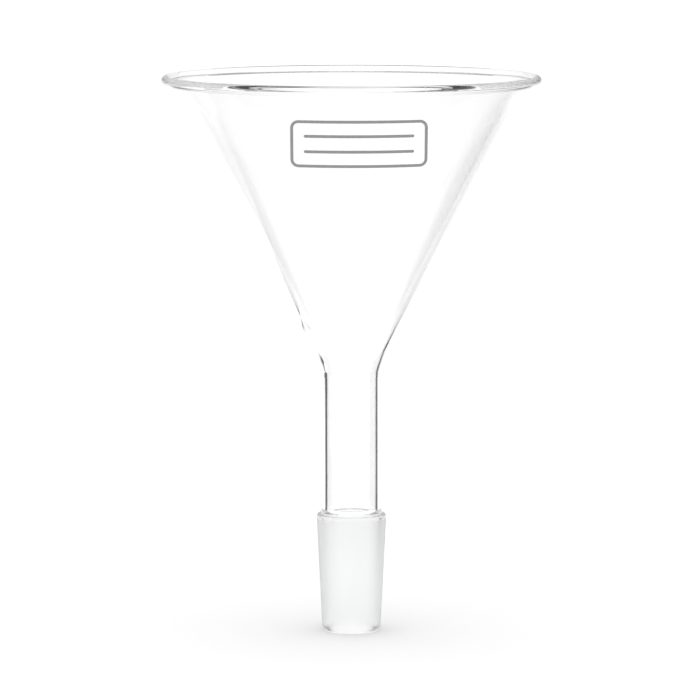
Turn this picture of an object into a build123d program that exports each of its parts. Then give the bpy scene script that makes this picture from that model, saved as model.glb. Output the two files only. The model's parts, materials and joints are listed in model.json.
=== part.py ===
"""Laboratory powder funnel in borosilicate glass, with a 14/23 standard-taper ground cone.

The object is a body of revolution about Z. Z = 0 is the lower end of the joint, and the mouth
is at the top. Every glass zone is a ring whose wall section is drawn in the XZ plane. An enamel
write-on panel is fired onto the front (-Y) of the cone. Millimetres and degrees.
"""

import os
from math import cos, radians, sin, tan

from build123d import *

os.makedirs("parts", exist_ok=True)

# Ground male cone, size 14/23: 14.5 mm at the wide end, 23 mm long, 1 in 10 on the diameter
JOINT_D = 14.5
JOINT_LENGTH = 23.0
JOINT_TAPER = 1 / 10
JOINT_WALL = 1.35

# Bevelled drip tip below the ground zone
TIP_HEIGHT = 0.8
TIP_BEVEL = 0.7
TIP_ROUND = 0.2

# Clear shoulder between the ground zone and the stem. Its bore narrows to the stem's below a
# short straight top.
COLLAR_HEIGHT = 0.9
COLLAR_ROUND = 0.55
SHOULDER_HEIGHT = 2.6
SHOULDER_FILLET = 0.35
SHOULDER_BORE_TOP = 0.9
SHOULDER_INNER_ROUND = 1.2

# Stem tube
STEM_D = 12.6
STEM_WALL = 1.2
STEM_LENGTH = 26.6

# Drawn-down neck, sealed to the top of the stem, and the length of cone wall drawn with it
NECK_ANGLE = 16.5
NECK_WALL = 1.3
NECK_START = 1.4
NECK_LENGTH = 4.2
NECK_CONE_LENGTH = 3.2
SEAL_ROUND = 4.0
NECK_ROUND = 15.0

# Cone wall, from its axis to a generator
CONE_ANGLE = 27.75
CONE_WALL = 1.4

# Mouth: the wall turns outwards and ends in a fire-polished bead
MOUTH_D = 78.4
BEAD_D = 1.9
FLARE_TURN = 15.25
FLARE_RADIUS = 34.3
BEAD_BLEND_IN = 0.5
BEAD_BLEND_OUT = 0.8

# Enamel write-on panel, sizes as seen from the front
PANEL_X = 1.5
PANEL_Z = 104.2
PANEL_WIDTH = 27.4
PANEL_HEIGHT = 9.8
PANEL_CORNER = 1.6
LINE_WIDTH = 0.6
RULE_LENGTH = 22.0
RULE_PITCH = 3.2
ENAMEL_THICKNESS = 0.1
PANEL_REACH = 60.0

# Levels along the axis
Z_GROUND = TIP_HEIGHT
Z_SHOULDER = Z_GROUND + JOINT_LENGTH
Z_STEM = Z_SHOULDER + SHOULDER_HEIGHT
Z_NECK = Z_STEM + STEM_LENGTH

# Radii
JOINT_R = JOINT_D / 2
JOINT_END_R = JOINT_R - JOINT_LENGTH * JOINT_TAPER / 2
STEM_R = STEM_D / 2
BORE_R = STEM_R - STEM_WALL
BEAD_R = BEAD_D / 2
BEAD_CENTRE_R = MOUTH_D / 2 - BEAD_R


def along(angle):
    """Unit vector, as (radius, height), up a wall that leans outwards by this angle."""
    return sin(radians(angle)), cos(radians(angle))


def outward(angle):
    """Unit vector out of the outer face of the same wall."""
    return cos(radians(angle)), -sin(radians(angle))


def moved(point, way, distance):
    return point[0] + way[0] * distance, point[1] + way[1] * distance


def outer_corner(inner, lower_angle, lower_wall, upper_angle, upper_wall):
    """Corner of the outer face opposite an inner corner, where two walls of their own angle and
    thickness meet."""
    low, high = outward(lower_angle), outward(upper_angle)
    cross = low[0] * high[1] - low[1] * high[0]
    dr = (lower_wall * high[1] - upper_wall * low[1]) / cross
    dz = (low[0] * upper_wall - high[0] * lower_wall) / cross
    return inner[0] + dr, inner[1] + dz


# Corners of the neck's inner face: at the flame seal, and where the cone wall begins
SEAL = (BORE_R, Z_NECK + NECK_START)
NECK_CORNER = (BORE_R + NECK_LENGTH * tan(radians(NECK_ANGLE)), SEAL[1] + NECK_LENGTH)
SEAL_OUTER = outer_corner(SEAL, 0, STEM_WALL, NECK_ANGLE, NECK_WALL)
NECK_CORNER_OUTER = outer_corner(NECK_CORNER, NECK_ANGLE, NECK_WALL, CONE_ANGLE, CONE_WALL)

# Ends of the straight cone wall, on its inner face. The flare's middle line ends on the bead's centre.
FLARE_END_ANGLE = CONE_ANGLE + FLARE_TURN
FLARE_DR = FLARE_RADIUS * (outward(CONE_ANGLE)[0] - outward(FLARE_END_ANGLE)[0])
FLARE_DZ = FLARE_RADIUS * (outward(CONE_ANGLE)[1] - outward(FLARE_END_ANGLE)[1])
CONE_LOW = moved(NECK_CORNER, along(CONE_ANGLE), NECK_CONE_LENGTH)
CONE_TOP_R = BEAD_CENTRE_R - FLARE_DR - outward(CONE_ANGLE)[0] * CONE_WALL / 2
CONE_HIGH = moved(CONE_LOW, along(CONE_ANGLE), (CONE_TOP_R - CONE_LOW[0]) / along(CONE_ANGLE)[0])
CONE_LOW_OUTER = moved(CONE_LOW, outward(CONE_ANGLE), CONE_WALL)
CONE_HIGH_OUTER = moved(CONE_HIGH, outward(CONE_ANGLE), CONE_WALL)
FLARE_START = moved(CONE_HIGH, outward(CONE_ANGLE), CONE_WALL / 2)
BEAD_CENTRE = (BEAD_CENTRE_R, FLARE_START[1] + FLARE_DZ)

# Drip tip: bevelled outside, rounded where the bore ends
with BuildPart() as joint_tip:
    with BuildSketch(Plane.XZ) as tip_section:
        with BuildLine():
            Polyline(
                (JOINT_END_R - JOINT_WALL, Z_GROUND),
                (JOINT_END_R, Z_GROUND),
                (JOINT_END_R - TIP_BEVEL, 0),
                (JOINT_END_R - JOINT_WALL, 0),
                close=True,
            )
        make_face()
        fillet(tip_section.vertices().group_by(Axis.Y)[0], radius=TIP_ROUND)
    revolve(axis=Axis.Z)
joint_tip.part.label = "joint_tip"

# Ground male cone, with a wall of even thickness
with BuildPart() as ground_joint:
    with BuildSketch(Plane.XZ):
        with BuildLine():
            Polyline(
                (JOINT_END_R - JOINT_WALL, Z_GROUND),
                (JOINT_END_R, Z_GROUND),
                (JOINT_R, Z_SHOULDER),
                (JOINT_R - JOINT_WALL, Z_SHOULDER),
                close=True,
            )
        make_face()
    revolve(axis=Axis.Z)
ground_joint.part.label = "ground_joint"

# Clear shoulder: a rounded collar outside, and inside the step from the joint's bore to the stem's
with BuildPart() as joint_shoulder:
    with BuildSketch(Plane.XZ) as shoulder_section:
        collar_edge = (JOINT_R, Z_SHOULDER + COLLAR_HEIGHT)
        stem_foot = (STEM_R, Z_SHOULDER + COLLAR_HEIGHT)
        bore_step = (JOINT_R - JOINT_WALL, Z_SHOULDER + COLLAR_HEIGHT)
        bore_end = (BORE_R, Z_STEM - SHOULDER_BORE_TOP)
        with BuildLine():
            Polyline(
                (JOINT_R - JOINT_WALL, Z_SHOULDER),
                (JOINT_R, Z_SHOULDER),
                collar_edge,
                stem_foot,
                (STEM_R, Z_STEM),
                (BORE_R, Z_STEM),
                bore_end,
                bore_step,
                close=True,
            )
        make_face()
        corners = shoulder_section.vertices()
        fillet(corners.sort_by_distance(collar_edge)[0], radius=COLLAR_ROUND)
        fillet(corners.sort_by_distance(stem_foot)[0], radius=SHOULDER_FILLET)
        inner_corners = [corners.sort_by_distance(p)[0] for p in (bore_step, bore_end)]
        fillet(inner_corners, radius=SHOULDER_INNER_ROUND)
    revolve(axis=Axis.Z)
joint_shoulder.part.label = "joint_shoulder"

# Stem: a plain length of tube
with BuildPart() as stem_tube:
    with BuildSketch(Plane.XY.offset(Z_STEM)):
        Circle(STEM_R)
        Circle(BORE_R, mode=Mode.SUBTRACT)
    extrude(amount=STEM_LENGTH)
stem_tube.part.label = "stem_tube"

# Neck: opens from the flame seal to the cone in two gentle bends
with BuildPart() as throat_neck:
    with BuildSketch(Plane.XZ) as neck_section:
        with BuildLine():
            Polyline(
                (BORE_R, Z_NECK),
                SEAL,
                NECK_CORNER,
                CONE_LOW,
                CONE_LOW_OUTER,
                NECK_CORNER_OUTER,
                SEAL_OUTER,
                (STEM_R, Z_NECK),
                close=True,
            )
        make_face()
        corners = neck_section.vertices()
        fillet([corners.sort_by_distance(p)[0] for p in (SEAL, SEAL_OUTER)], radius=SEAL_ROUND)
        neck_corners = [corners.sort_by_distance(p)[0] for p in (NECK_CORNER, NECK_CORNER_OUTER)]
        fillet(neck_corners, radius=NECK_ROUND)
    revolve(axis=Axis.Z)
throat_neck.part.label = "throat_neck"

# Straight cone wall
with BuildPart() as funnel_cone:
    with BuildSketch(Plane.XZ):
        with BuildLine():
            Polyline(CONE_LOW, CONE_HIGH, CONE_HIGH_OUTER, CONE_LOW_OUTER, close=True)
        make_face()
    revolve(axis=Axis.Z)
funnel_cone.part.label = "funnel_cone"

# Rim: the wall turns outwards and ends in a round bead
with BuildPart() as rim_bead:
    with BuildSketch(Plane.XZ) as rim_section:
        with BuildLine():
            inner = JernArc(
                CONE_HIGH, along(CONE_ANGLE), FLARE_RADIUS + CONE_WALL / 2, -FLARE_TURN
            )
            outer = JernArc(
                CONE_HIGH_OUTER, along(CONE_ANGLE), FLARE_RADIUS - CONE_WALL / 2, -FLARE_TURN
            )
            Line(inner @ 1, outer @ 1)
            Line(inner @ 0, outer @ 0)
        make_face()
        flare_ends = [inner @ 0, outer @ 0]
        inner_end, outer_end = inner @ 1, outer @ 1
        with Locations(BEAD_CENTRE):
            Circle(BEAD_R)
        blends = [
            corner
            for corner in rim_section.vertices()
            if min((corner.center() - end).length for end in flare_ends) > BEAD_R
        ]
        near_inner = min(blends, key=lambda corner: (corner.center() - inner_end).length)
        fillet(near_inner, radius=BEAD_BLEND_IN)
        near_outer = rim_section.vertices().sort_by_distance(outer_end)[0]
        fillet(near_outer, radius=BEAD_BLEND_OUT)
    revolve(axis=Axis.Z)
rim_bead.part.label = "rim_bead"


# Section of a thin skin on the outer face of the cone and the flare, which the printed outlines
# are cut from
with BuildSketch(Plane.XZ) as enamel_section:
    skin_low = moved(CONE_LOW_OUTER, outward(CONE_ANGLE), ENAMEL_THICKNESS)
    skin_high = moved(CONE_HIGH_OUTER, outward(CONE_ANGLE), ENAMEL_THICKNESS)
    with BuildLine():
        Polyline(CONE_HIGH_OUTER, CONE_LOW_OUTER, skin_low, skin_high)
        face_arc = JernArc(
            CONE_HIGH_OUTER, along(CONE_ANGLE), FLARE_RADIUS - CONE_WALL / 2, -FLARE_TURN / 2
        )
        skin_arc = JernArc(
            skin_high,
            along(CONE_ANGLE),
            FLARE_RADIUS - CONE_WALL / 2 - ENAMEL_THICKNESS,
            -FLARE_TURN / 2,
        )
        Line(face_arc @ 1, skin_arc @ 1)
    make_face()

# Printed frame of the write-on panel
with BuildPart() as enamel_border:
    revolve(enamel_section.sketch, axis=Axis.Z)
    with BuildSketch(Plane.XZ):
        with Locations((PANEL_X, PANEL_Z)):
            RectangleRounded(PANEL_WIDTH, PANEL_HEIGHT, PANEL_CORNER)
            RectangleRounded(
                PANEL_WIDTH - 2 * LINE_WIDTH,
                PANEL_HEIGHT - 2 * LINE_WIDTH,
                PANEL_CORNER - LINE_WIDTH,
                mode=Mode.SUBTRACT,
            )
    extrude(amount=PANEL_REACH, mode=Mode.INTERSECT)
enamel_border.part.label = "enamel_border"

# Two writing lines inside the frame
with BuildPart() as enamel_rules:
    revolve(enamel_section.sketch, axis=Axis.Z)
    with BuildSketch(Plane.XZ):
        with Locations((PANEL_X, PANEL_Z)):
            with GridLocations(0, RULE_PITCH, 1, 2):
                SlotOverall(RULE_LENGTH, LINE_WIDTH)
    extrude(amount=PANEL_REACH, mode=Mode.INTERSECT)
enamel_rules.part.label = "enamel_rules"

SUB_PARTS = [
    rim_bead,
    funnel_cone,
    throat_neck,
    stem_tube,
    joint_shoulder,
    ground_joint,
    joint_tip,
    enamel_border,
    enamel_rules,
]
for piece in SUB_PARTS:
    export_step(piece.part, f"parts/{piece.part.label}.step")
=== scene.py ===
"""Looks for the laboratory powder funnel: lathe-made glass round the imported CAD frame, the light
and the camera. Metres, in the CAD frame: the axis is Z, and the printed panel faces -Y."""

import json
from math import atan2, cos, hypot, pi, radians, sin, sqrt, tan

import bmesh
import bpy
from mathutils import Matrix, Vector, noise


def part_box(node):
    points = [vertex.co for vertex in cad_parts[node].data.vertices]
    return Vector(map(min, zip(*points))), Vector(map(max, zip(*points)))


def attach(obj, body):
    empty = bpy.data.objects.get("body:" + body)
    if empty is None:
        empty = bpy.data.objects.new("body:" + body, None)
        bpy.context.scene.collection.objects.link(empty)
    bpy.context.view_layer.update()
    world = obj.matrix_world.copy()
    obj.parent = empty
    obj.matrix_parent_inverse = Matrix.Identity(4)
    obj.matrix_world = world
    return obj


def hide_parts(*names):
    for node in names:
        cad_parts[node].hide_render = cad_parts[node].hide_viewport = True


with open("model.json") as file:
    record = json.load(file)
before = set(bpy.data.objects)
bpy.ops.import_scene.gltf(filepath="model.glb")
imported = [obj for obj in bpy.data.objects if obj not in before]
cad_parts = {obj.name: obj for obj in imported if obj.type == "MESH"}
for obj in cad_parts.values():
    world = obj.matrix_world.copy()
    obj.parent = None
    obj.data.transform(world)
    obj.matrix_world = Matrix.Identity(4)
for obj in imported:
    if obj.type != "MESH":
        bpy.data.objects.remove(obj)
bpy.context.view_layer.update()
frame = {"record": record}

MM = 0.001
SEGMENTS = 288
ARC_STEP = radians(1.5)
STEP = 2.5 * MM
SAME_POINT = 1e-7

# ---------------------------------------------------------------- sizes, read from the frame


def low(node):
    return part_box(node)[0]


def high(node):
    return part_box(node)[1]


mounts = {m["name"]: m for m in frame["record"]["mounts"]}

Z_GROUND = low("ground_joint").z
Z_SHOULDER = high("ground_joint").z
Z_STEM = low("stem_tube").z
Z_NECK = high("stem_tube").z
JOINT_R = high("ground_joint").x
JOINT_END_R = high("joint_tip").x
STEM_R = high("stem_tube").x
BORE_R = mounts["stem_bore"]["dims"]["r_mm"] * MM
MOUTH_R = high("rim_bead").x

# The cone's outer face runs through these two points, and its end faces are square to it
CONE_LOW_OUTER = (high("throat_neck").x, low("funnel_cone").z)
CONE_HIGH_OUTER = (high("funnel_cone").x, low("rim_bead").z)
CONE_ANGLE = atan2(CONE_HIGH_OUTER[0] - CONE_LOW_OUTER[0], CONE_HIGH_OUTER[1] - CONE_LOW_OUTER[1])
CONE_WALL = (high("throat_neck").z - low("funnel_cone").z) / sin(CONE_ANGLE)

# Shapes inside the nodes that their boxes don't give, as the CAD has them
JOINT_WALL = 1.35 * MM
TIP_BEVEL = 0.7 * MM
TIP_ROUND = 0.2 * MM
COLLAR_HEIGHT = 0.9 * MM
COLLAR_ROUND = 0.55 * MM
SHOULDER_FILLET = 0.35 * MM
SHOULDER_INNER_ROUND = 1.2 * MM
SHOULDER_BORE_TOP = 0.9 * MM
NECK_ANGLE = radians(16.5)
NECK_WALL = 1.3 * MM
NECK_START = 1.4 * MM
NECK_LENGTH = 4.2 * MM
SEAL_ROUND = 4.0 * MM
NECK_ROUND = 15.0 * MM
BEAD_R = 0.95 * MM
FLARE_TURN = radians(15.25)
BEAD_BLEND_IN = 0.5 * MM
BEAD_BLEND_OUT = 0.8 * MM
PANEL_CORNER = 1.6 * MM
LINE_WIDTH = 0.6 * MM
RULE_PITCH = 3.2 * MM
PRINT_HEIGHT = 0.09 * MM


# ---------------------------------------------------------------- wall sections


def outward(angle):
    """Square to the outer face of a wall that leans out by this angle."""
    return cos(angle), -sin(angle)


def moved(point, way, distance):
    """The point this far off, in that direction."""
    return point[0] + way[0] * distance, point[1] + way[1] * distance


def outer_corner(inner, lower_angle, lower_wall, upper_angle, upper_wall):
    """Corner of the outer face opposite an inner corner, where two walls meet."""
    a, b = outward(lower_angle), outward(upper_angle)
    cross = a[0] * b[1] - a[1] * b[0]
    dr = (lower_wall * b[1] - upper_wall * a[1]) / cross
    dz = (a[0] * upper_wall - b[0] * lower_wall) / cross
    return inner[0] + dr, inner[1] + dz


def arc(centre, radius, start, turn):
    """Points from angle start through turn, both ends included."""
    steps = max(2, round(abs(turn) / ARC_STEP))
    ways = [start + turn * i / steps for i in range(steps + 1)]
    return [(centre[0] + radius * cos(way), centre[1] + radius * sin(way)) for way in ways]


def rounded(before, corner, after, radius):
    """The arc that rounds a corner of a line."""
    u = Vector((before[0] - corner[0], before[1] - corner[1])).normalized()
    v = Vector((after[0] - corner[0], after[1] - corner[1])).normalized()
    half = u.angle(v) / 2
    centre = Vector(corner) + (u + v).normalized() * radius / sin(half)
    first = Vector(corner) + u * radius / tan(half)
    last = Vector(corner) + v * radius / tan(half)
    start = atan2(first.y - centre.y, first.x - centre.x)
    end = atan2(last.y - centre.y, last.x - centre.x)
    turn = (end - start + pi) % (2 * pi) - pi
    return arc(centre, radius, start, turn)


def divided(a, b, step):
    """Points from a to b, both included, at most a step apart."""
    n = max(1, round(hypot(b[0] - a[0], b[1] - a[1]) / step))
    return [(a[0] + (b[0] - a[0]) * i / n, a[1] + (b[1] - a[1]) * i / n) for i in range(n + 1)]


def line_through(points):
    """A face's points in order, with those that repeat the one before left out."""
    kept = []
    for p in points:
        if not kept or hypot(p[0] - kept[-1][0], p[1] - kept[-1][1]) > SAME_POINT:
            kept.append(p)
    return kept


def tip_faces():
    """The drip tip, bevelled outside, with two small rounds at its lower edge."""
    top_in, top_out = (JOINT_END_R - JOINT_WALL, Z_GROUND), (JOINT_END_R, Z_GROUND)
    low_in, low_out = (JOINT_END_R - JOINT_WALL, 0), (JOINT_END_R - TIP_BEVEL, 0)
    lip = rounded(top_in, low_in, low_out, TIP_ROUND) + rounded(low_in, low_out, top_out, TIP_ROUND)
    split = len(lip) // 2
    inner = line_through([top_in] + lip[:split])[::-1]
    outer = line_through(lip[split - 1 :] + [top_out])
    return inner, outer


def joint_faces():
    """The ground zone, which tapers alike inside and outside."""
    inner = divided((JOINT_END_R - JOINT_WALL, Z_GROUND), (JOINT_R - JOINT_WALL, Z_SHOULDER), STEP)
    outer = divided((JOINT_END_R, Z_GROUND), (JOINT_R, Z_SHOULDER), STEP)
    return inner, outer


def shoulder_faces():
    """The rounded collar above the ground zone, drawn in to the stem."""
    collar_top = Z_SHOULDER + COLLAR_HEIGHT
    edge, foot = (JOINT_R, collar_top), (STEM_R, collar_top)
    step, end = (JOINT_R - JOINT_WALL, collar_top), (BORE_R, Z_STEM - SHOULDER_BORE_TOP)
    outer = [(JOINT_R, Z_SHOULDER)]
    outer += rounded(outer[0], edge, foot, COLLAR_ROUND)
    outer += rounded(edge, foot, (STEM_R, Z_STEM), SHOULDER_FILLET)
    outer += [(STEM_R, Z_STEM)]
    inner = [(JOINT_R - JOINT_WALL, Z_SHOULDER)]
    inner += rounded(inner[0], step, end, SHOULDER_INNER_ROUND)
    inner += rounded(step, end, (BORE_R, Z_STEM), SHOULDER_INNER_ROUND)
    inner += [(BORE_R, Z_STEM)]
    return line_through(inner), line_through(outer)


def stem_faces():
    """Plain tube."""
    return (
        divided((BORE_R, Z_STEM), (BORE_R, Z_NECK), STEP),
        divided((STEM_R, Z_STEM), (STEM_R, Z_NECK), STEP),
    )


CONE_LOW = moved(CONE_LOW_OUTER, outward(CONE_ANGLE), -CONE_WALL)
CONE_HIGH = moved(CONE_HIGH_OUTER, outward(CONE_ANGLE), -CONE_WALL)


def neck_faces():
    """The seal to the stem, then the neck, which bends into the funnel's cone."""
    seal = (BORE_R, Z_NECK + NECK_START)
    bend = (BORE_R + NECK_LENGTH * tan(NECK_ANGLE), seal[1] + NECK_LENGTH)
    seal_out = outer_corner(seal, 0, STEM_R - BORE_R, NECK_ANGLE, NECK_WALL)
    bend_out = outer_corner(bend, NECK_ANGLE, NECK_WALL, CONE_ANGLE, CONE_WALL)
    faces = []
    for start, first, second, stop in (
        ((BORE_R, Z_NECK), seal, bend, CONE_LOW),
        ((STEM_R, Z_NECK), seal_out, bend_out, CONE_LOW_OUTER),
    ):
        points = [start] + rounded(start, first, second, SEAL_ROUND)
        points += rounded(first, second, stop, NECK_ROUND) + [stop]
        faces.append(line_through(points))
    return faces


def cone_faces():
    """A straight wall of even thickness."""
    return divided(CONE_LOW, CONE_HIGH, STEP), divided(CONE_LOW_OUTER, CONE_HIGH_OUTER, STEP)


# The flare's middle line runs from the middle of the cone wall to the bead's centre
BEAD_CENTRE = (MOUTH_R - BEAD_R, high("rim_bead").z - BEAD_R)
FLARE_START = moved(CONE_HIGH, outward(CONE_ANGLE), CONE_WALL / 2)
FLARE_RADIUS = (BEAD_CENTRE[0] - FLARE_START[0]) / (cos(CONE_ANGLE) - cos(CONE_ANGLE + FLARE_TURN))
FLARE_CENTRE = moved(FLARE_START, outward(CONE_ANGLE), FLARE_RADIUS)


def rim_faces():
    """The flare's two arcs share a centre; the bead's circle is blended into both."""
    bead, centre = BEAD_CENTRE, FLARE_CENTRE
    start = atan2(CONE_HIGH[1] - centre[1], CONE_HIGH[0] - centre[0])

    def blended(radius, side, fillet):
        """Flare arc of this radius, then the small arc that blends it into the bead."""
        blend = radius + side * fillet
        reach = BEAD_R + fillet
        gap = hypot(bead[0] - centre[0], bead[1] - centre[1])
        lean = (blend**2 + gap**2 - reach**2) / (2 * blend * gap)
        bead_way = atan2(bead[1] - centre[1], bead[0] - centre[0])
        way = bead_way + atan2(sqrt(1 - lean**2), lean)
        spot = (centre[0] + blend * cos(way), centre[1] + blend * sin(way))
        points = arc(centre, radius, start, way - start)
        on_bead = atan2(bead[1] - spot[1], bead[0] - spot[0])
        from_way = way if side < 0 else way + pi
        turn = (on_bead - from_way + pi) % (2 * pi) - pi
        points += arc(spot, fillet, from_way, turn)
        return points, on_bead + pi

    inner, inner_way = blended(FLARE_RADIUS + CONE_WALL / 2, 1, BEAD_BLEND_IN)
    outer, outer_way = blended(FLARE_RADIUS - CONE_WALL / 2, -1, BEAD_BLEND_OUT)
    turn = (outer_way - inner_way) % (2 * pi) - 2 * pi
    ring = arc(bead, BEAD_R, inner_way, turn)
    half = len(ring) // 2
    return line_through(inner + ring[:half]), line_through(outer + ring[: half - 2 : -1])


# ---------------------------------------------------------------- meshes


def on_face(x, z, proud):
    """Point on the front of the cone's or flare's outer face, seen from the front at x, z."""
    if z < CONE_HIGH_OUTER[1] - proud * sin(CONE_ANGLE):
        radius = CONE_LOW_OUTER[0] + (z - CONE_LOW_OUTER[1]) * tan(CONE_ANGLE) + proud / cos(CONE_ANGLE)
    else:
        bend = FLARE_RADIUS - CONE_WALL / 2 - proud
        radius = FLARE_CENTRE[0] - sqrt(bend**2 - (z - FLARE_CENTRE[1]) ** 2)
    return x, -sqrt(radius**2 - x**2), z


# Material slots of a ring of glass
INNER_SKIN, OUTER_SKIN, WELD = 0, 1, 2


def lathe(name, inner, outer, low_open, high_open, skins):
    """A closed ring. inner and outer are the two faces of its wall section, both from the bottom up.
    An open end is a weld face, where the next ring of the same glass begins. skins are the
    materials of its inner face, its outer face and its weld faces."""
    mesh = bpy.data.meshes.new(name)
    bm = bmesh.new()
    loop = line_through(outer + inner[::-1])
    if hypot(loop[0][0] - loop[-1][0], loop[0][1] - loop[-1][1]) < SAME_POINT:
        loop.pop()
    rings = []
    for k in range(SEGMENTS):
        turn = 2 * pi * k / SEGMENTS
        rings.append([bm.verts.new((r * cos(turn), r * sin(turn), z)) for r, z in loop])
    top = len(line_through(outer)) - 1
    for k in range(SEGMENTS):
        here, there = rings[k], rings[(k + 1) % SEGMENTS]
        for i in range(len(loop)):
            j = (i + 1) % len(loop)
            face = bm.faces.new((here[i], there[i], there[j], here[j]))
            face.smooth = True
            if (high_open and i == top) or (low_open and i == len(loop) - 1):
                face.material_index = WELD
            else:
                face.material_index = OUTER_SKIN if i < top else INNER_SKIN
    bm.normal_update()
    for edge in bm.edges:
        kinds = {f.material_index == WELD for f in edge.link_faces}
        edge.smooth = len(kinds) == 1
    bm.to_mesh(mesh)
    bm.free()
    for material in skins:
        mesh.materials.append(material)
    piece = bpy.data.objects.new(name, mesh)
    bpy.context.scene.collection.objects.link(piece)
    return piece


# Cross-section of a printed line: part of the half width, and part of the height
PRINT_HALF = ((-1, -0.12), (-1, 0.3), (-0.93, 0.72), (-0.75, 0.94))
PRINT_PROFILE = PRINT_HALF + ((0, 1),) + tuple((-side, rise) for side, rise in PRINT_HALF[::-1])
EDGE_WAVER = 0.012 * MM
WAVER_LENGTH = 0.35 * MM
PRINT_STEP = 0.25 * MM
ROUND_STEPS = 6


def printed_line(name, stations, closed, material):
    """A fired line of enamel on the outer face. A station is x, z, the way across and the half width."""
    mesh = bpy.data.meshes.new(name)
    bm = bmesh.new()
    rows = []
    for x, z, across, half_width in stations:
        row = []
        for side, rise in PRINT_PROFILE:
            place = Vector((x, z, side * MM)) / WAVER_LENGTH
            waver = noise.noise(place) * EDGE_WAVER if half_width else 0
            reach = side * half_width + (waver if abs(side) == 1 else waver * side)
            x_out, z_out = x + across[0] * reach, z + across[1] * reach
            row.append(bm.verts.new(on_face(x_out, z_out, rise * PRINT_HEIGHT)))
        rows.append(row)
    pairs = list(zip(rows, rows[1:]))
    if closed:
        pairs.append((rows[-1], rows[0]))
    for here, there in pairs:
        for i in range(len(here)):
            j = (i + 1) % len(here)
            bm.faces.new((here[i], here[j], there[j], there[i])).smooth = True
    bmesh.ops.remove_doubles(bm, verts=bm.verts, dist=SAME_POINT)
    bmesh.ops.recalc_face_normals(bm, faces=bm.faces)
    bm.to_mesh(mesh)
    bm.free()
    mesh.materials.append(material)
    piece = bpy.data.objects.new(name, mesh)
    bpy.context.scene.collection.objects.link(piece)
    return piece


def border_stations():
    """Round the middle of the frame's line, with its corners as arcs."""
    inset = LINE_WIDTH / 2
    left, right = low("enamel_border").x + inset, high("enamel_border").x - inset
    bottom, top = low("enamel_border").z + inset, high("enamel_border").z - inset
    radius = PANEL_CORNER - inset
    stations = []
    for cx, cz, way in (
        (right - radius, bottom + radius, -pi / 2),
        (right - radius, top - radius, 0),
        (left + radius, top - radius, pi / 2),
        (left + radius, bottom + radius, pi),
    ):
        steps = max(ROUND_STEPS, round(radius * pi / 2 / PRINT_STEP))
        for i in range(steps + 1):
            turn = way + pi / 2 * i / steps
            stations.append((cx + radius * cos(turn), cz + radius * sin(turn), (cos(turn), sin(turn)), inset))
    full = []
    for here, there in zip(stations, stations[1:] + stations[:1]):
        run = divided(here[:2], there[:2], PRINT_STEP)[:-1]
        full += [(x, z, here[2], inset) for x, z in run]
    return full


def rule_stations(height):
    """Along a writing line, narrowing to its round ends."""
    half_width = LINE_WIDTH / 2
    left, right = low("enamel_rules").x, high("enamel_rules").x
    ends = [half_width * (1 - cos(pi / 2 * i / ROUND_STEPS)) for i in range(ROUND_STEPS)]
    runs = [left + e for e in ends]
    runs += [x for x, _ in divided((left + half_width, 0), (right - half_width, 0), PRINT_STEP)]
    runs += [right - e for e in ends[::-1]]
    stations = []
    for x in runs:
        inside = max(0.0, half_width - min(x - left, right - x))
        stations.append((x, height, (0, 1), sqrt(max(0.0, half_width**2 - inside**2))))
    return stations


# ---------------------------------------------------------------- materials


GLASS_IOR = 1.473


def new_material(name):
    material = bpy.data.materials.new(name)
    material.use_nodes = True
    nodes = material.node_tree.nodes
    return material, nodes, material.node_tree.links, nodes["Principled BSDF"]


def uneven(nodes, links, shader, feature, stretch, depth, roughness):
    """Bump of this depth and roughness between two values, both from one noise. A feature of the
    noise is this wide, and stretch times as long along Z."""
    place = nodes.new("ShaderNodeTexCoord")
    scaled = nodes.new("ShaderNodeMapping")
    scaled.inputs["Scale"].default_value = (1 / feature, 1 / feature, 1 / (feature * stretch))
    links.new(place.outputs["Object"], scaled.inputs["Vector"])
    pattern = nodes.new("ShaderNodeTexNoise")
    pattern.inputs["Scale"].default_value = 1.0
    pattern.inputs["Detail"].default_value = 3.0
    pattern.inputs["Roughness"].default_value = 0.45
    links.new(scaled.outputs["Vector"], pattern.inputs["Vector"])
    bump = nodes.new("ShaderNodeBump")
    bump.inputs["Strength"].default_value = 1.0
    bump.inputs["Distance"].default_value = depth
    links.new(pattern.outputs["Fac"], bump.inputs["Height"])
    links.new(bump.outputs["Normal"], shader.inputs["Normal"])
    spread = nodes.new("ShaderNodeMapRange")
    spread.inputs["From Min"].default_value = 0.35
    spread.inputs["From Max"].default_value = 0.65
    spread.inputs["To Min"].default_value = roughness[0]
    spread.inputs["To Max"].default_value = roughness[1]
    links.new(pattern.outputs["Fac"], spread.inputs["Value"])
    links.new(spread.outputs["Result"], shader.inputs["Roughness"])
    return pattern


def tones(nodes, links, shader, pattern, dark, pale):
    """Colour between two tones, from a noise."""
    ramp = nodes.new("ShaderNodeValToRGB")
    ramp.color_ramp.elements[0].position = 0.3
    ramp.color_ramp.elements[0].color = dark
    ramp.color_ramp.elements[1].position = 0.7
    ramp.color_ramp.elements[1].color = pale
    links.new(pattern.outputs["Fac"], ramp.inputs["Fac"])
    links.new(ramp.outputs["Color"], shader.inputs["Base Color"])


def clear_glass():
    """Drawn and blown borosilicate: flame-polished, with the faint long waves that drawing leaves."""
    material, nodes, links, shader = new_material("borosilicate_glass")
    shader.inputs["Base Color"].default_value = (0.998, 0.999, 0.9985, 1)
    shader.inputs["IOR"].default_value = GLASS_IOR
    shader.inputs["Transmission Weight"].default_value = 1.0
    uneven(nodes, links, shader, 4 * MM, 4, 0.012 * MM, (0.0, 0.006))
    return material


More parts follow.
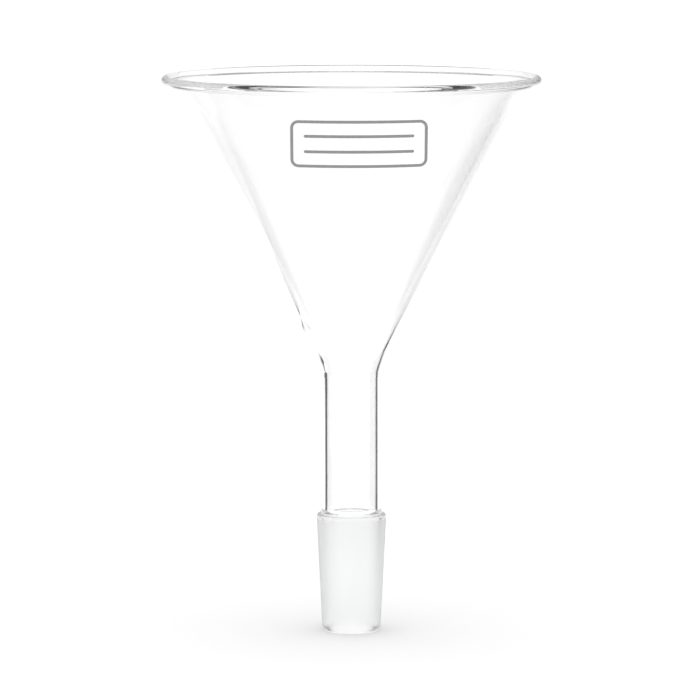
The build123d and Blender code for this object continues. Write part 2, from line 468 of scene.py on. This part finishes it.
def ground_glass():
    """Fine even grinding, which scatters light but lets most of it through."""
    material, nodes, links, shader = new_material("ground_glass")
    shader.inputs["IOR"].default_value = GLASS_IOR
    shader.inputs["Transmission Weight"].default_value = 1.0
    grain = uneven(nodes, links, shader, 0.16 * MM, 0.6, 0.006 * MM, (0.3, 0.4))
    tones(nodes, links, shader, grain, (0.965, 0.97, 0.97, 1), (0.985, 0.988, 0.988, 1))
    return material


def grey_enamel():
    """Fired screen print: matte, with the mottle of the mesh it was printed through."""
    material, nodes, links, shader = new_material("grey_enamel")
    shader.inputs["Specular IOR Level"].default_value = 0.35
    mottle = uneven(nodes, links, shader, 0.12 * MM, 1, 0.012 * MM, (0.5, 0.75))
    tones(nodes, links, shader, mottle, (0.2, 0.2, 0.205, 1), (0.34, 0.34, 0.345, 1))
    return material


def weld_face():
    """Neighbouring rings of glass are fused, so nothing bends or shines where they meet."""
    material, nodes, links, shader = new_material("weld_face")
    clear = nodes.new("ShaderNodeBsdfTransparent")
    links.new(clear.outputs[0], nodes["Material Output"].inputs["Surface"])
    nodes.remove(shader)
    return material


glass, ground, weld = clear_glass(), ground_glass(), weld_face()

PIECES = {
    # node: section, glass goes on below, glass goes on above, outer skin
    "joint_tip": (tip_faces, False, True, ground),
    "ground_joint": (joint_faces, True, True, ground),
    "joint_shoulder": (shoulder_faces, True, True, glass),
    "stem_tube": (stem_faces, True, True, glass),
    "throat_neck": (neck_faces, True, True, glass),
    "funnel_cone": (cone_faces, True, True, glass),
    "rim_bead": (rim_faces, True, False, glass),
}
for node, (section, goes_below, goes_above, skin) in PIECES.items():
    inner_face, outer_face = section()
    skins = (glass, skin, weld)
    piece = lathe(node + "_glass", inner_face, outer_face, goes_below, goes_above, skins)
    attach(piece, "root")
    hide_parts(node)

enamel = grey_enamel()
border = printed_line("enamel_border_print", border_stations(), True, enamel)
rules_middle = (low("enamel_rules").z + high("enamel_rules").z) / 2
rules = [
    printed_line(f"enamel_rule_{side}", rule_stations(rules_middle + way * RULE_PITCH / 2), False, enamel)
    for side, way in (("lower", -1), ("upper", 1))
]
for piece, node in ((border, "enamel_border"), (rules[0], "enamel_rules"), (rules[1], "enamel_rules")):
    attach(piece, "root")
    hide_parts(node)

# ---------------------------------------------------------------- floor, light, camera

FLOOR_REACH = 12.0
BACKDROP = 1.1
MIRRORED = 0.6
FLOOR_GLOW = 0.07


def build_world():
    """White all round, and dimmer where a surface mirrors it."""
    world = bpy.data.worlds.new("studio")
    bpy.context.scene.world = world
    world.use_nodes = True
    nodes, links = world.node_tree.nodes, world.node_tree.links
    lit = nodes["Background"]
    lit.inputs["Color"].default_value = (1, 1, 1, 1)
    lit.inputs["Strength"].default_value = BACKDROP
    dim = nodes.new("ShaderNodeBackground")
    dim.inputs["Color"].default_value = (1, 1, 1, 1)
    dim.inputs["Strength"].default_value = MIRRORED * BACKDROP
    path = nodes.new("ShaderNodeLightPath")
    mirrored = nodes.new("ShaderNodeMath")
    mirrored.operation = "MULTIPLY"
    links.new(path.outputs["Is Reflection Ray"], mirrored.inputs[0])
    links.new(path.outputs["Is Glossy Ray"], mirrored.inputs[1])
    mix = nodes.new("ShaderNodeMixShader")
    links.new(mirrored.outputs[0], mix.inputs["Fac"])
    links.new(lit.outputs[0], mix.inputs[1])
    links.new(dim.outputs[0], mix.inputs[2])
    links.new(mix.outputs[0], nodes["World Output"].inputs["Surface"])


def build_floor():
    """A matt pale floor with a faint glow of its own, which keeps it near white."""
    mesh = bpy.data.meshes.new("floor")
    corners = [(-1, -1), (1, -1), (1, 1), (-1, 1)]
    mesh.from_pydata([(x * FLOOR_REACH, y * FLOOR_REACH, 0) for x, y in corners], [], [(0, 1, 2, 3)])
    floor = bpy.data.objects.new("floor", mesh)
    bpy.context.scene.collection.objects.link(floor)
    material, nodes, links, shader = new_material("floor")
    shader.inputs["Base Color"].default_value = (0.93, 0.93, 0.93, 1)
    shader.inputs["Roughness"].default_value = 0.9
    shader.inputs["Specular IOR Level"].default_value = 0.0
    shader.inputs["Emission Color"].default_value = (1, 1, 1, 1)
    shader.inputs["Emission Strength"].default_value = FLOOR_GLOW
    mesh.materials.append(material)


# A ray no longer than FLAG_NEAREST passes through a flag, and one FLAG_FADE longer meets it at its
# full darkness. So the flags on the floor darken the rim, and not the joint that stands among them.
FLAG_NEAREST = 0.105
FLAG_FADE = 0.02
TABLE_R = 0.0115
TABLE_SIDES = 48
TABLE_Z = 0.0002
FLAG_FLOOR_Z = 0.0004


def flag_material(name, nearest):
    """Black where the mesh's shade attribute is 1, and clear where it is 0 or a ray is too short."""
    material, nodes, links, shader = new_material(name)
    nodes.remove(shader)
    dark = nodes.new("ShaderNodeEmission")
    dark.inputs["Color"].default_value = (0.0, 0.0, 0.0, 1)
    clear = nodes.new("ShaderNodeBsdfTransparent")
    shade = nodes.new("ShaderNodeAttribute")
    shade.attribute_name = "shade"
    path = nodes.new("ShaderNodeLightPath")
    reach = nodes.new("ShaderNodeMapRange")
    reach.inputs["From Min"].default_value = nearest
    reach.inputs["From Max"].default_value = nearest + FLAG_FADE
    links.new(path.outputs["Ray Length"], reach.inputs["Value"])
    strength = nodes.new("ShaderNodeMath")
    strength.operation = "MULTIPLY"
    links.new(shade.outputs["Fac"], strength.inputs[0])
    links.new(reach.outputs["Result"], strength.inputs[1])
    mix = nodes.new("ShaderNodeMixShader")
    links.new(strength.outputs[0], mix.inputs["Fac"])
    links.new(clear.outputs[0], mix.inputs[1])
    links.new(dark.outputs[0], mix.inputs[2])
    links.new(mix.outputs[0], nodes["Material Output"].inputs["Surface"])
    return material


def studio_card(name, mesh, material):
    """Something that lights or shades the set, and that only light passed on by the glass meets."""
    mesh.materials.append(material)
    card = bpy.data.objects.new(name, mesh)
    bpy.context.scene.collection.objects.link(card)
    card.visible_camera = False
    card.visible_diffuse = False
    card.visible_glossy = False
    card.visible_shadow = False


def flag(name, ends, stops, ramp_way=None):
    """A dark flag curved round the set. ends are its two edges, each a radius, a height and a
    darkness. stops are azimuths in degrees with a darkness. With ramp_way, an azimuth, it is a
    flat ramp that falls that way, and its radii are measured along that way."""
    turns, shades = [], []
    for (turn, shade), (next_turn, next_shade) in zip(stops, stops[1:]):
        steps = max(1, round(abs(next_turn - turn)))
        for i in range(steps):
            turns.append(turn + (next_turn - turn) * i / steps)
            shades.append(shade + (next_shade - shade) * i / steps)
    turns.append(stops[-1][0])
    shades.append(stops[-1][1])
    corners, faces = [], []
    for turn in turns:
        for radius, height, _ in ends:
            if ramp_way is not None:
                radius /= cos(radians(turn - ramp_way))
            corners.append((radius * sin(radians(turn)), radius * cos(radians(turn)), height))
    for i in range(len(turns) - 1):
        faces.append((2 * i, 2 * i + 1, 2 * i + 3, 2 * i + 2))
    mesh = bpy.data.meshes.new(name)
    mesh.from_pydata(corners, [], faces)
    layer = mesh.attributes.new("shade", "FLOAT", "POINT")
    for i, shade in enumerate(shades):
        layer.data[2 * i].value = shade * ends[0][2]
        layer.data[2 * i + 1].value = shade * ends[1][2]
    studio_card(name, mesh, FLAG if ramp_way is None else FLAG_RAMP)


def light_table():
    """A bright spot on the floor under the open joint."""
    mesh = bpy.data.meshes.new("light_table")
    turns = [2 * pi * i / TABLE_SIDES for i in range(TABLE_SIDES)]
    spot = [(TABLE_R * cos(turn), TABLE_R * sin(turn), TABLE_Z) for turn in turns]
    mesh.from_pydata(spot, [], [tuple(range(TABLE_SIDES))])
    material, nodes, links, shader = new_material("light_table")
    nodes.remove(shader)
    glow = nodes.new("ShaderNodeEmission")
    glow.inputs["Color"].default_value = (1, 1, 1, 1)
    glow.inputs["Strength"].default_value = 1.0
    links.new(glow.outputs[0], nodes["Material Output"].inputs["Surface"])
    studio_card("light_table", mesh, material)


build_world()
build_floor()
light_table()
FLAG = flag_material("flag", FLAG_NEAREST)
FLAG_RAMP = flag_material("flag_ramp", 0.0)

# The two edges of each kind of flag: radius, height and darkness
FLAG_R = 0.25
STANDING = ((FLAG_R, 0.0, 1), (FLAG_R, 0.13, 1))
STANDING_HIGH = ((FLAG_R, 0.034, 1), (FLAG_R, 0.13, 1))
OVERHEAD = ((FLAG_R, 0.13, 1), (FLAG_R, 0.2, 1))
OVERHEAD_FADE = ((FLAG_R, 0.2, 1), (FLAG_R, 0.24, 0))
SLOPE = ((FLAG_R, 0.2, 0.6), (0.2, 0.33, 0.6))
CAP = ((FLAG_R, 0.33, 0.6), (0.001, 0.5, 0.6))
NEAR_FLOOR = ((0.012, FLAG_FLOOR_Z, 1), (0.13, FLAG_FLOOR_Z, 1))
FAR_FLOOR = ((0.13, FLAG_FLOOR_Z, 1), (FLAG_R, FLAG_FLOOR_Z, 1))
# Falls about as steeply as a view from the front right and 25 degrees up looks down, so that
# view sees the ramp almost edge on
RAMP = ((0.02, 0.0595, 1), (0.1535, 0.0007, 1))
RAMP_WAY = -45

# Azimuths in degrees, from +Y towards +X, with a darkness
RIGHT = ((32, 0), (38, 0.15), (44, 0.75), (50, 1), (100, 1), (109, 0))
LEFT = ((-36, 0), (-40, 0.3), (-44, 0.8), (-48, 1), (-66, 1), (-75, 0.6), (-82, 0))
OVER = ((4, 0), (12, 0.5), (20, 1), (45, 1), (55, 0))

flag("flag_right", STANDING, RIGHT)
flag("flag_left_ramp", RAMP, LEFT, ramp_way=RAMP_WAY)
flag("flag_left", STANDING_HIGH, LEFT)
flag("flag_back", STANDING, ((-130, 0), (-138, 1), (-178, 1), (-184, 0)))
flag("flag_floor", NEAR_FLOOR, ((-30, 0), (-24, 1), (100, 1), (109, 0)))
flag("flag_floor_back", NEAR_FLOOR, ((-199, 0), (-190, 1), (-68, 1), (-60, 0)))
flag("flag_floor_right", FAR_FLOOR, RIGHT)
flag("flag_floor_left", FAR_FLOOR, ((-85, 0), (-80, 1), (-65, 1), (-60, 0)))
for side in (-1, 1):
    stops = tuple((side * azimuth, shade) for azimuth, shade in OVER)
    flag(f"flag_over_{side}", OVERHEAD, stops)
    flag(f"flag_over_high_{side}", OVERHEAD_FADE, stops)
flag("flag_cap", CAP, ((-180, 1), (180, 1)))
flag("flag_front_over", SLOPE, ((90, 0), (100, 1), (260, 1), (270, 0)))

CAMERA_DISTANCE = 0.8356
CAMERA_PITCH = radians(7.25)
AIM_Z = 0.059
AIM_X = -0.0003
camera_data = bpy.data.cameras.new("camera")
camera_data.sensor_width = 36
camera_data.lens = 206.7
camera_data.clip_end = 100
camera = bpy.data.objects.new("camera", camera_data)
camera.location = (
    AIM_X,
    -CAMERA_DISTANCE * cos(CAMERA_PITCH),
    AIM_Z + CAMERA_DISTANCE * sin(CAMERA_PITCH),
)
camera.rotation_euler = (pi / 2 - CAMERA_PITCH, 0, 0)
bpy.context.scene.collection.objects.link(camera)
bpy.context.scene.camera = camera
bpy.context.scene.view_settings.view_transform = "Standard"

# Light that is guided round inside the bead needs very many bounces, or the rim turns black
BOUNCES = 1024
cycles = bpy.context.scene.cycles
cycles.max_bounces = BOUNCES
cycles.transmission_bounces = BOUNCES
cycles.glossy_bounces = BOUNCES
cycles.transparent_max_bounces = BOUNCES
